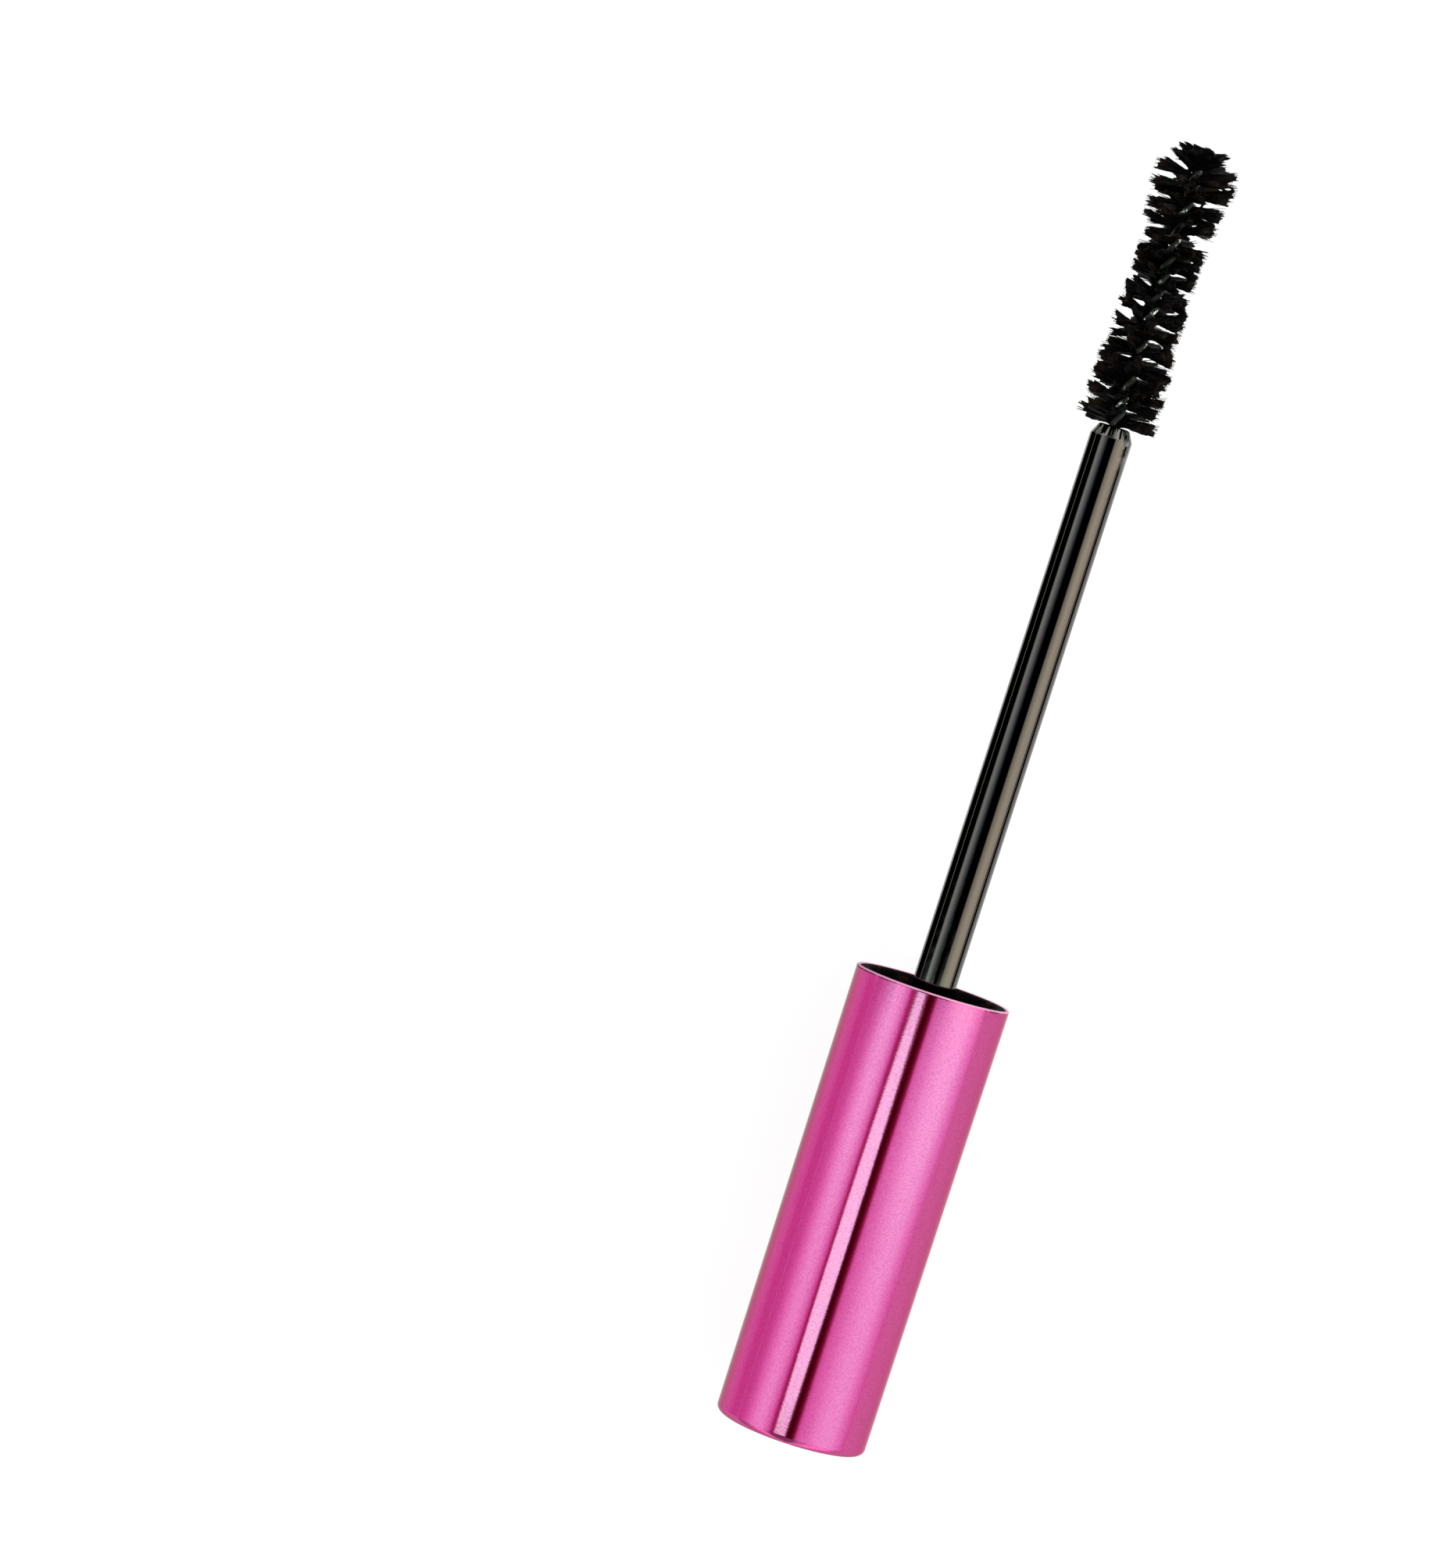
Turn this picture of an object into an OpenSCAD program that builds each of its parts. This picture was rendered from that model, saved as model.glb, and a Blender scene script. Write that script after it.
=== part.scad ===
// Mascara tube, lying open: the wand (cap, stem and brush) and its bottle share one axis.
// +X runs along that axis from the cap's closed end to the bottle's base, +Z is up, and the
// origin is on the surface under the middle of the whole length.
// Each module below draws its piece standing on the axis as local Z, where 0 is the cap's
// mouth for the wand's pieces and the bottle's shoulder for the bottle's pieces.

/* [Cap] */
// Outside diameter of the cap at its mouth
cap_mouth_d = 16; // [15.6:0.1:17]
// Outside diameter of the cap at its closed end
cap_end_d = 15.6; // [15:0.1:17]
// Length of the cap
cap_l = 47.2; // [44:0.2:60]
// Metal thickness of the cap's shell and the bottle's shell
shell_wall = 0.35; // [0.25:0.05:0.45]
// Outside radius of the edge round a shell's closed end
shell_edge_r = 0.7; // [0.5:0.05:1.2]

/* [Stem] */
// Length of stem that stands out of the cap's mouth
stem_l = 58.7; // [50:0.1:66]
// Stem diameter at the cap's mouth
stem_root_d = 4.44; // [4.2:0.02:4.6]
// Stem diameter just before the bevel at its tip
stem_tip_d = 4.33; // [4:0.01:4.4]
// Length of the bevel at the stem's tip
stem_bevel = 1.2; // [0.6:0.1:2]

/* [Brush] */
// Length of the bristles along the wire
brush_l = 28.9; // [24:0.1:32]
// Diameter over the bristles next to the stem
brush_base_d = 8.3; // [7:0.1:8.6]
// Diameter over the bristles at the hourglass waist
brush_waist_d = 6.8; // [4.6:0.1:7.6]
// Diameter over the bristles near the free end
brush_end_d = 8.6; // [7.4:0.1:8.8]
// Diameter of one strand of the twisted wire
wire_d = 0.6; // [0.5:0.05:0.7]
// Length along the wire in which its strands turn once round each other
wire_lead = 3.6; // [3:0.1:6]

/* [Bottle] */
// Outside diameter of the bottle
bottle_d = 16; // [15.6:0.1:17]
// Length of the bottle from its shoulder to its base
bottle_l = 92; // [91.4:0.2:100]
// Length of the neck, with the wiper's flange on its end
neck_l = 13.5; // [12:0.1:15]
// Outside diameter of the neck between its threads
neck_d = 12; // [11.8:0.1:12.1]
// Bore of the neck
neck_bore_d = 9; // [8.8:0.1:9.2]
// Inside diameter of the vial
vial_bore_d = 12.6; // [12:0.1:13]

/* [Thread] */
// Advance of the thread in one turn
thread_lead = 3; // [2.6:0.1:3.4]
// Height of the thread on the neck
thread_h = 0.5; // [0.4:0.05:0.5]
// Turns of thread on the neck
neck_turns = 1.5; // [1:0.25:2]
// Turns of thread in the cap's socket
socket_turns = 2; // [1:0.25:2]

/* [Layout] */
// Gap between the brush's end and the bottle's neck, as they lie open
open_gap = 25; // [20:1:40]

/* [Hidden] */
$fn = 96;

fit = 0.02;          // clearance between pieces that are pressed or glued together
rim_gap = 0.3;       // gap left between the two shells when the tube is shut
seal_t = 0.8;        // thickness of the seal
seal_gap = 0.05;     // the seal is just short of the neck, so that it isn't drawn squashed
eps = 0.01;

cap_mouth_r = cap_mouth_d / 2;
cap_end_r = cap_end_d / 2;
bottle_r = bottle_d / 2;
stem_root_r = stem_root_d / 2;
stem_tip_r = stem_tip_d / 2;
neck_r = neck_d / 2;
neck_bore_r = neck_bore_d / 2;
vial_bore_r = vial_bore_d / 2;
strand_off = wire_d / 2 + 0.01;               // from the axis to the middle of each strand
wire_pair_r = wire_d + 0.01;

// Cap liner
liner_recess = 0.15;                          // the liner's rim lies this far inside the mouth
socket_floor = -(neck_l - rim_gap + seal_gap + seal_t);
socket_r = neck_r + thread_h + 0.12;
web_t = 1.5;
boss_r = 3.9;
boss_l = 12;
liner_tail_gap = 2.8;                         // from the liner's end to the shell's closed end
liner_tail_wall = 1.1;
stem_snap_r = 2.6;
stem_snap_z = socket_floor - web_t - 5;
stem_snap_t = 1;
stem_collar_r = 3.4;
stem_collar_t = 1;
wire_grip = 10;                               // length of wire held in the stem

// Vial and wiper
flange_t = 0.6;
vial_r = bottle_r - shell_wall - fit;
label_recess = 0.3;
vial_base = bottle_l - label_recess - shell_wall - 0.05;
vial_base_t = 1.5;
wiper_wall = 0.6;
wiper_lip_r = stem_root_r + 0.03;
wiper_bead_h = 0.2;
wiper_bead_z = 3;                             // from the neck's end to the wiper's snap bead
brush_cavity_r = brush_end_d / 2 + 0.4;
fill_start = 10;                              // from the shoulder to where the paste begins

// Threads
thread_foot = 1.3;                            // width of a thread at its foot
thread_tip = 0.7;                             // width of a thread at its tip
thread_sink = 0.2;                            // a thread's foot goes this deep into its wall
neck_thread_z = -11;                          // start of the neck's thread, from the shoulder
steps_per_turn = 36;

stem_end = stem_l;
brush_end = stem_end + brush_l;
shoulder = brush_end + open_gap + neck_l;     // the bottle's shoulder, from the cap's mouth
whole_l = cap_l + shoulder + bottle_l;
mouth_x = cap_l - whole_l / 2;

// Puts a piece that stands on local Z on the common axis, a distance from the cap's mouth.
module on_axis(from_mouth = 0) {
    translate([mouth_x + from_mouth, 0, cap_mouth_r])
        rotate([0, 90, 0])
            children();
}

// Half outline of a cup that is open at z = 0 and closed at z = -len, rounded at the closed edge.
module cup_outline(r_open, r_closed, len, edge_r) {
    polygon(concat(
        [[0, 0], [r_open, 0]],
        [for (a = [0 : 10 : 90]) [r_closed - edge_r * (1 - cos(a)), -len + edge_r * (1 - sin(a))]],
        [[0, -len]]));
}

// Thin shell with constant wall, open at z = 0 and closed at z = -len.
module shell_cup(r_open, r_closed, len) {
    rotate_extrude()
        difference() {
            cup_outline(r_open, r_closed, len, shell_edge_r);
            translate([-eps, eps])
                cup_outline(r_open - shell_wall + eps, r_closed - shell_wall + eps,
                            len - shell_wall + eps, shell_edge_r - shell_wall + eps);
        }
}

// One ring of four corners across a thread: foot, tip, tip, foot.
function thread_ring(r_foot, r_tip, z, a, rise) =
    let (r = r_foot + (r_tip - r_foot) * rise)
    [for (c = [[r_foot, -thread_foot / 2], [r, -thread_tip / 2],
               [r, thread_tip / 2], [r_foot, thread_foot / 2]])
        [c[0] * cos(a), c[0] * sin(a), z + c[1]]];

// Right-hand thread that starts at z and angle a. It fades in and out over an eighth of a turn.
module thread(r_foot, r_tip, turns, z, a) {
    n = round(turns * steps_per_turn);
    fade = steps_per_turn / 8;
    rings = [for (i = [0 : n])
        thread_ring(r_foot, r_tip, z + i / steps_per_turn * thread_lead,
                    a + i / steps_per_turn * 360,
                    max(0.5, min(1, i / fade, (n - i) / fade)))];
    sides = [for (i = [0 : n - 1], k = [0 : 3])
        let (p = 4 * i + k, q = 4 * i + (k + 1) % 4)
        each [[p, q, q + 4], [p, q + 4, p + 4]]];
    ends = [[3, 2, 1], [3, 1, 0],
            [4 * n, 4 * n + 1, 4 * n + 2], [4 * n, 4 * n + 2, 4 * n + 3]];
    faces = concat(sides, ends);
    polyhedron([for (r = rings) each r],
               r_tip < r_foot ? [for (f = faces) [f[2], f[1], f[0]]] : faces);
}

module cap_shell() {
    color("#d8488f")
        on_axis()
            shell_cup(cap_mouth_r, cap_end_r, cap_l);
}

// Outside radius of the liner at z: it follows the shell's slight taper.
function liner_r(z) = cap_mouth_r - shell_wall - fit + (cap_mouth_r - cap_end_r) * z / cap_l;

// Black moulding in the cap: a threaded socket for the neck, a web, and a boss for the stem.
module cap_liner() {
    tail = -cap_l + liner_tail_gap;
    web = socket_floor - web_t;
    tail_r = liner_r(tail) - liner_tail_wall;
    color("#161616")
        on_axis() {
            difference() {
                rotate_extrude()
                    polygon([[0, -liner_recess], [liner_r(-liner_recess), -liner_recess],
                             [liner_r(tail), tail], [0, tail]]);
                translate([0, 0, socket_floor])
                    cylinder(r = socket_r, h = -socket_floor);
                translate([0, 0, tail - eps])
                    difference() {
                        cylinder(r = tail_r, h = web - tail + eps);
                        translate([0, 0, web - tail + eps - boss_l])
                            cylinder(r = boss_r, h = boss_l + 1);
                        for (a = [0 : 90 : 270])
                            rotate([0, 0, a])
                                translate([boss_r - 0.3, -0.5, web - tail - boss_l])
                                    cube([tail_r, 1, boss_l + 1]);
                    }
                translate([0, 0, web - boss_l - eps])
                    cylinder(r = stem_root_r + fit, h = boss_l + web_t + 1);
                translate([0, 0, stem_snap_z - fit])
                    cylinder(r = stem_snap_r + fit, h = stem_snap_t + 2 * fit);
            }
            thread(socket_r + thread_sink, socket_r - thread_h, socket_turns,
                   neck_thread_z + rim_gap - thread_lead / 2, 0);
        }
}

// Soft ring on the socket's floor.
module neck_seal() {
    color("#d9d9d4")
        on_axis()
            translate([0, 0, socket_floor])
                difference() {
                    cylinder(r = socket_r - fit, h = seal_t);
                    translate([0, 0, -1])
                        cylinder(r = neck_bore_r - 0.1, h = seal_t + 2);
                }
}

// Stem with its collar on the socket's floor and its snap ring in the boss.
module stem() {
    root = socket_floor - web_t - boss_l + 0.5;
    bevel = 0.6;
    color("#3c3c3f")
        on_axis()
            difference() {
                rotate_extrude()
                    polygon([[0, root], [stem_root_r - 0.3, root], [stem_root_r, root + 0.6],
                             [stem_root_r, stem_snap_z], [stem_snap_r, stem_snap_z],
                             [stem_snap_r, stem_snap_z + stem_snap_t],
                             [stem_root_r, stem_snap_z + stem_snap_t],
                             [stem_root_r, socket_floor], [stem_collar_r, socket_floor],
                             [stem_collar_r, socket_floor + stem_collar_t],
                             [stem_root_r, socket_floor + stem_collar_t], [stem_root_r, 0],
                             [stem_tip_r, stem_end - stem_bevel],
                             [stem_tip_r - bevel, stem_end], [0, stem_end]]);
                translate([0, 0, stem_end - wire_grip - 0.2])
                    cylinder(r = wire_pair_r + fit, h = wire_grip + 1);
            }
}

// One strand of the wire: a six-sided rod that winds round the axis.
module wire_strand(len, start_angle) {
    turns = len / wire_lead;
    rings = ceil(turns * 12);
    sides = 6;
    points = [for (i = [0 : rings], k = [0 : sides - 1])
        let (a = start_angle + 360 * turns * i / rings, b = 360 * k / sides,
             r = strand_off + wire_d / 2 * cos(b))
        [r * cos(a), r * sin(a), len * i / rings]
            + wire_d / 2 * sin(b) * [-sin(a), cos(a), 0]];
    walls = [for (i = [0 : rings - 1], k = [0 : sides - 1])
        let (p = sides * i + k, q = sides * i + (k + 1) % sides)
        each [[p, q + sides, q], [p, p + sides, q + sides]]];
    polyhedron(points, concat(walls, [[for (k = [0 : sides - 1]) k]],
                              [[for (k = [sides - 1 : -1 : 0]) sides * rings + k]]));
}

// The wire runs from its hole in the stem to the end of the bristles.
module brush_wire() {
    color("#8b8680")
        on_axis(stem_end - wire_grip)
            for (a = [0, 180])
                wire_strand(wire_grip + brush_l - 0.4, a);
}

// Radius over the bristles, where t runs from 0 next to the stem to 1 at the free end.
// Two half cosines meet at the waist, and a quarter round closes the free end.
function bristle_r(t) =
    let (waist_t = 0.57, full_t = 0.88,
         side = t < waist_t ? t / waist_t : 1 - min(1, (t - waist_t) / (full_t - waist_t)),
         rim_d = t < waist_t ? brush_base_d : brush_end_d,
         blend = (1 - cos(180 * side)) / 2,
         body = (rim_d + (brush_waist_d - rim_d) * blend) / 2,
         past = max(0, (t - full_t) / (1 - full_t)))
    t < full_t ? body : body * (0.62 + 0.38 * sqrt(1 - past * past));

// Closed solid that the bristles fill, hollow where the wire runs.
module bristles() {
    stations = 32;
    color("#1b1817")
        on_axis(stem_end + 0.05)
            difference() {
                rotate_extrude()
                    polygon(concat([[0, 0]],
                        [for (i = [0 : stations])
                            [bristle_r(i / stations), (brush_l - 0.05) * i / stations]],
                        [[0, brush_l - 0.05]]));
                translate([0, 0, -1])
                    cylinder(r = wire_pair_r + fit, h = brush_l + 2);
            }
}

// Shell of the bottle, with a shallow panel in its base for the label.
module bottle_shell() {
    panel_r = bottle_r - 2;
    color("#d8488f")
        on_axis(shoulder)
            mirror([0, 0, 1])
                difference() {
                    union() {
                        shell_cup(bottle_r, bottle_r, bottle_l);
                        translate([0, 0, -bottle_l])
                            cylinder(r = panel_r + shell_wall, h = label_recess + shell_wall);
                    }
                    translate([0, 0, -bottle_l - 1])
                        cylinder(r = panel_r, h = label_recess + 1);
                }
}

// Bottle inside the shell. Its neck stands out towards the cap.
module vial() {
    neck_tube = neck_l - flange_t;
    color("#121213")
        on_axis(shoulder)
            union() {
                difference() {
                    rotate_extrude()
                        polygon([[0, -neck_tube], [neck_r - 0.3, -neck_tube],
                                 [neck_r, -neck_tube + 0.3], [neck_r, 0.4], [vial_r - 0.4, 0.4],
                                 [vial_r, 0.8], [vial_r, vial_base - 1], [vial_r - 1, vial_base],
                                 [0, vial_base]]);
                    rotate_extrude()
                        polygon([[0, -neck_tube - 1], [neck_bore_r, -neck_tube - 1],
                                 [neck_bore_r, 2], [vial_bore_r, 3.6],
                                 [vial_bore_r, vial_base - vial_base_t - 1],
                                 [vial_bore_r - 1, vial_base - vial_base_t],
                                 [0, vial_base - vial_base_t]]);
                    translate([0, 0, -neck_tube + wiper_bead_z - fit])
                        cylinder(r = neck_bore_r + wiper_bead_h, h = 1 + 2 * fit);
                }
                thread(neck_r - thread_sink, neck_r + thread_h, neck_turns, neck_thread_z, 0);
            }
}

// Soft insert in the neck: a flange, a tube with a snap bead, and a funnel to the wiping lip.
module wiper() {
    top = -neck_l;
    r = neck_bore_r - fit;
    lip_z = -3.6;
    lip_l = 0.8;
    color("#cfcfca")
        on_axis(shoulder)
            rotate_extrude()
                polygon([[neck_r - 0.2, top], [neck_r - 0.2, top + flange_t - eps],
                         [r, top + flange_t - eps],
                         [r, top + flange_t + wiper_bead_z],
                         [r + wiper_bead_h, top + flange_t + wiper_bead_z + 0.3],
                         [r + wiper_bead_h, top + flange_t + wiper_bead_z + 0.7],
                         [r, top + flange_t + wiper_bead_z + 1],
                         [r, lip_z - 3], [wiper_lip_r + wiper_wall, lip_z + lip_l],
                         [wiper_lip_r, lip_z + lip_l], [wiper_lip_r, lip_z],
                         [r - wiper_wall, lip_z - 3.4], [r - wiper_wall, top]]);
}

// Paste on the vial's wall, with the cavity that the brush leaves.
module mascara_fill() {
    end = vial_base - vial_base_t - fit;
    cavity_end = bottle_l - 4;
    r = vial_bore_r - fit;
    color("#0d0b0b")
        on_axis(shoulder)
            difference() {
                rotate_extrude()
                    polygon([[0, fill_start], [r, fill_start], [r, end - 1], [r - 1, end], [0, end]]);
                translate([0, 0, fill_start - 1])
                    cylinder(r = brush_cavity_r, h = cavity_end - fill_start + 1);
            }
}

// Blank round label in the base's panel.
module base_label() {
    label_t = 0.12;
    color("#f2efe9")
        on_axis(shoulder + bottle_l - label_recess)
            cylinder(r = bottle_r - 2.4, h = label_t);
}

cap_shell();
cap_liner();
neck_seal();
stem();
brush_wire();
bristles();
bottle_shell();
vial();
wiper();
mascara_fill();
base_label();
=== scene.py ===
# The mascara tube's looks: lathed shells and mouldings with their threads, a twisted-wire brush with
# its fibres and clumped paste, studio light and the camera. Everything is in metres in the CAD
# frame, where the common axis runs along +X and the tube lies on z = 0.
import math
import random

import bpy
import bmesh
from mathutils import Matrix, Vector, noise


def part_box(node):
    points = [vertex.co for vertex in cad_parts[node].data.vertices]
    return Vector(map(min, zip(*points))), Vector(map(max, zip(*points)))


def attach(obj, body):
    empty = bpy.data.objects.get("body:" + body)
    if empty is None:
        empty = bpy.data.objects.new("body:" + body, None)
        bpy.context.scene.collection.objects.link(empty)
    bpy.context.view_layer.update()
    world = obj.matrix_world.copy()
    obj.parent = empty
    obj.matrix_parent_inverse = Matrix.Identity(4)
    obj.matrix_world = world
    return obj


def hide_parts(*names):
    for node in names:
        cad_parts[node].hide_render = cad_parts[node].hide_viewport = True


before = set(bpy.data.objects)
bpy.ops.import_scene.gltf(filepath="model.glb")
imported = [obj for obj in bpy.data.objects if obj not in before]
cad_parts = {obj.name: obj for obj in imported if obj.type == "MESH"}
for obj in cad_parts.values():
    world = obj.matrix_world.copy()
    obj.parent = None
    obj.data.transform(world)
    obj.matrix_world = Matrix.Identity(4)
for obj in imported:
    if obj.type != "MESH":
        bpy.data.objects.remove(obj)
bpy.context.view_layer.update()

MM = 0.001
TAU = 2 * math.pi

# ---------------------------------------------------------------- places read from the frame
cap_lo, cap_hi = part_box("cap_shell")
stem_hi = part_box("stem")[1]
brush_lo, brush_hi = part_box("bristles")
wire_lo, wire_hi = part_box("brush_wire")
bottle_lo, bottle_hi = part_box("bottle_shell")

AXIS_Z = (cap_lo.z + cap_hi.z) / 2
MOUTH_X = cap_hi.x
CAP_MOUTH_R = (cap_hi.z - cap_lo.z) / 2
BOTTLE_R = (bottle_hi.z - bottle_lo.z) / 2
SHOULDER_X = bottle_lo.x
STEM_END_X = stem_hi.x

# ---------------------------------------------------------------- sizes in mm
SHELL_WALL = 0.35
SHELL_EDGE = 0.7
CAP_TAPER = 0.2
FIT = 0.02            # clearance between pieces that are pressed together

SOCKET_R = 6.62
SOCKET_FLOOR = -14.05
WEB_T = 1.5           # the web between the socket and the liner's tail
SNAP_DEPTH = 5        # from the web to the far side of the stem's snap ring
SNAP_R = 2.6

STEM_ROOT_R = 2.22
STEM_TIP_R = 2.165
STEM_BEVEL = 1.2
WIRE_LEAD = 3.6
WIRE_R = 0.3
STRAND_OFF = 0.31     # from the brush's axis to the middle of a strand
WIRE_GRIP = 10        # length of wire held in the stem

# 0.15 over the CAD brush's radii, because many tips end short of the outline
BRUSH_BASE_R = 4.3
BRUSH_WAIST_R = 3.55
BRUSH_END_R = 4.45
FIBRE_ROOT_R = 0.25

BASE_RECESS = 0.3
NECK_R = 6.0
NECK_BORE_R = 4.5
NECK_L = 13.5
FLANGE_T = 0.6        # the wiper's flange, which lies on the neck's end
BEAD_DEPTH = 3        # from the flange to the wiper's snap bead
THREAD_H = 0.5
THREAD_LEAD = 3.0
THREAD_Z = -11.0      # start of the neck's thread, from the shoulder


# ---------------------------------------------------------------- mesh helpers
def on_axis(x, r, angle):
    """Point at x (metres) and radius r (metres) round the common axis, from straight down."""
    return Vector((x, r * math.sin(angle), AXIS_Z - r * math.cos(angle)))


def add_piece(name, mesh, body, material, replaces):
    """Links a mesh as a piece that rides on a body, gives it the material passed in and hides the CAD
    node it replaces.
    """
    piece = bpy.data.objects.new(name, mesh)
    bpy.context.scene.collection.objects.link(piece)
    mesh.materials.append(material)
    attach(piece, body)
    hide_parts(replaces)
    return piece


def finish_mesh(name, bm, sharp_deg=35):
    """Turns a bmesh into a smooth-shaded mesh that keeps its sharp edges."""
    bmesh.ops.recalc_face_normals(bm, faces=bm.faces)
    mesh = bpy.data.meshes.new(name)
    bm.to_mesh(mesh)
    bm.free()
    mesh.polygons.foreach_set("use_smooth", [True] * len(mesh.polygons))
    mesh.set_sharp_from_angle(angle=math.radians(sharp_deg))
    return mesh


def braced(outline):
    """The closed outline with extra points close to its corners, so that shading stays tight."""
    brace = 0.06
    points = []
    for (x0, r0), (x1, r1) in zip(outline, outline[1:] + outline[:1]):
        points.append((x0, r0))
        length = math.hypot(x1 - x0, r1 - r0)
        if length > 1:
            for u in (brace / length, 1 - brace / length):
                points.append((x0 + (x1 - x0) * u, r0 + (r1 - r0) * u))
    return points


def lathe(bm, outline, start_x, way=1, segments=256):
    """Solid of revolution from a closed outline of (distance, radius) points in mm.

    The distance counts from start_x (metres), towards -X where way is -1.
    """
    rings = []
    for distance, r in braced(outline):
        x = start_x + way * distance * MM
        count = segments if r > 1e-4 else 1
        rings.append([bm.verts.new(on_axis(x, r * MM, TAU * k / segments)) for k in range(count)])
    for a, b in zip(rings, rings[1:] + rings[:1]):
        for k in range(segments):
            j = (k + 1) % segments
            corners = [a[k % len(a)], a[j % len(a)], b[j % len(b)], b[k % len(b)]]
            face = list(dict.fromkeys(corners))
            if len(face) > 2:
                bm.faces.new(face)


def tube(bm, points, radii, sides=3, turn=0.0):
    """Closed tube through points (metres) with a radius (metres) at each one."""
    rings = []
    side = (points[1] - points[0]).orthogonal()
    for i, (point, r) in enumerate(zip(points, radii)):
        ahead = (points[min(i + 1, len(points) - 1)] - points[max(i - 1, 0)]).normalized()
        side = (side - ahead * side.dot(ahead)).normalized()
        across = ahead.cross(side)
        angles = [turn + TAU * k / sides for k in range(sides)]
        rings.append([bm.verts.new(point + r * (math.cos(a) * side + math.sin(a) * across))
                      for a in angles])
    for a, b in zip(rings, rings[1:]):
        for k in range(sides):
            j = (k + 1) % sides
            bm.faces.new((a[k], a[j], b[j], b[k]))
    bm.faces.new(rings[0][::-1])
    bm.faces.new(rings[-1])


def helix_thread(bm, start_x, r_foot, r_tip, turns, steps=96):
    """Right-hand thread with rounded corners that fades in and out over an eighth of a turn."""
    count = round(turns * steps)
    fade = steps / 8
    flank = [(-0.65, 0), (-0.45, 0.72), (-0.33, 0.95), (-0.18, 1)]
    shape = flank + [(-w, h) for w, h in reversed(flank)]
    rings = []
    for i in range(count + 1):
        rise = max(0.5, min(1, i / fade, (count - i) / fade))
        x = start_x + i / steps * THREAD_LEAD * MM
        rings.append([bm.verts.new(on_axis(x + w * MM, (r_foot + (r_tip - r_foot) * h * rise) * MM,
                                           TAU * i / steps)) for w, h in shape])
    for a, b in zip(rings, rings[1:]):
        for k in range(len(shape)):
            j = (k + 1) % len(shape)
            bm.faces.new((a[k], a[j], b[j], b[k]))
    bm.faces.new(rings[0][::-1])
    bm.faces.new(rings[-1])


# ---------------------------------------------------------------- material helpers
class Nodes:
    """Short names for building one material's node tree."""

    def __init__(self, name):
        self.material = bpy.data.materials.new(name)
        self.material.use_nodes = True
        self.tree = self.material.node_tree
        self.shader = self.tree.nodes["Principled BSDF"]
        self.place = self.tree.nodes.new("ShaderNodeTexCoord").outputs["Object"]

    def link(self, a, b):
        self.tree.links.new(a, b)

    def put(self, **values):
        for key, value in values.items():
            self.shader.inputs[key.replace("_", " ")].default_value = value

    def stretch(self, scale):
        """Object coordinates scaled by (x, y, z)."""
        node = self.tree.nodes.new("ShaderNodeMapping")
        node.inputs["Scale"].default_value = scale
        self.link(self.place, node.inputs["Vector"])
        return node.outputs["Vector"]

    def axis(self, letter):
        node = self.tree.nodes.new("ShaderNodeSeparateXYZ")
        self.link(self.place, node.inputs[0])
        return node.outputs[letter]

    def from_axis(self):
        """Distance from the tube's common axis."""
        node = self.tree.nodes.new("ShaderNodeVectorMath")
        node.operation = "LENGTH"
        shift = self.tree.nodes.new("ShaderNodeMapping")
        shift.inputs["Location"].default_value = (0, 0, -AXIS_Z)
        shift.inputs["Scale"].default_value = (0, 1, 1)
        self.link(self.place, shift.inputs["Vector"])
        self.link(shift.outputs["Vector"], node.inputs[0])
        return node.outputs["Value"]

    def noise(self, scale, detail=2.0, roughness=0.5, where=None):
        node = self.tree.nodes.new("ShaderNodeTexNoise")
        node.inputs["Scale"].default_value = scale
        node.inputs["Detail"].default_value = detail
        node.inputs["Roughness"].default_value = roughness
        self.link(where or self.place, node.inputs["Vector"])
        return node.outputs["Fac"]

    def cells(self, scale):
        node = self.tree.nodes.new("ShaderNodeTexVoronoi")
        node.inputs["Scale"].default_value = scale
        self.link(self.place, node.inputs["Vector"])
        return node.outputs["Distance"]

    def spread(self, value, low, high, to_low=0.0, to_high=1.0):
        """Maps low..high of a value to to_low..to_high, clamped."""
        node = self.tree.nodes.new("ShaderNodeMapRange")
        self.link(value, node.inputs["Value"])
        for key, number in zip(("From Min", "From Max", "To Min", "To Max"),
                               (low, high, to_low, to_high)):
            node.inputs[key].default_value = number
        return node.outputs["Result"]

    def times(self, a, b):
        node = self.tree.nodes.new("ShaderNodeMath")
        node.operation = "MULTIPLY"
        self.link(a, node.inputs[0])
        self.link(b, node.inputs[1])
        return node.outputs[0]

    def colours(self, value, stops):
        """Colour ramp over a value, from (position, (r, g, b)) stops."""
        node = self.tree.nodes.new("ShaderNodeValToRGB")
        ramp = node.color_ramp
        while len(ramp.elements) < len(stops):
            ramp.elements.new(0.5)
        for element, (position, colour) in zip(ramp.elements, stops):
            element.position = position
            element.color = (*colour, 1)
        self.link(value, node.inputs["Fac"])
        return node.outputs["Color"]

    def blend(self, amount, a, b, data_type="RGBA"):
        """Goes from a to b, each a socket or a constant."""
        node = self.tree.nodes.new("ShaderNodeMix")
        node.data_type = data_type
        sockets = [s for s in node.inputs if s.enabled]
        self.link(amount, sockets[0])
        for socket, value in zip(sockets[1:], (a, b)):
            if isinstance(value, bpy.types.NodeSocket):
                self.link(value, socket)
            else:
                socket.default_value = (*value, 1) if data_type == "RGBA" else value
        return next(s for s in node.outputs if s.enabled)

    def bump(self, height, distance, under=None):
        node = self.tree.nodes.new("ShaderNodeBump")
        node.inputs["Distance"].default_value = distance
        self.link(height, node.inputs["Height"])
        if under:
            self.link(under, node.inputs["Normal"])
        return node.outputs["Normal"]

    def set(self, key, socket):
        self.link(socket, self.shader.inputs[key])


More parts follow.
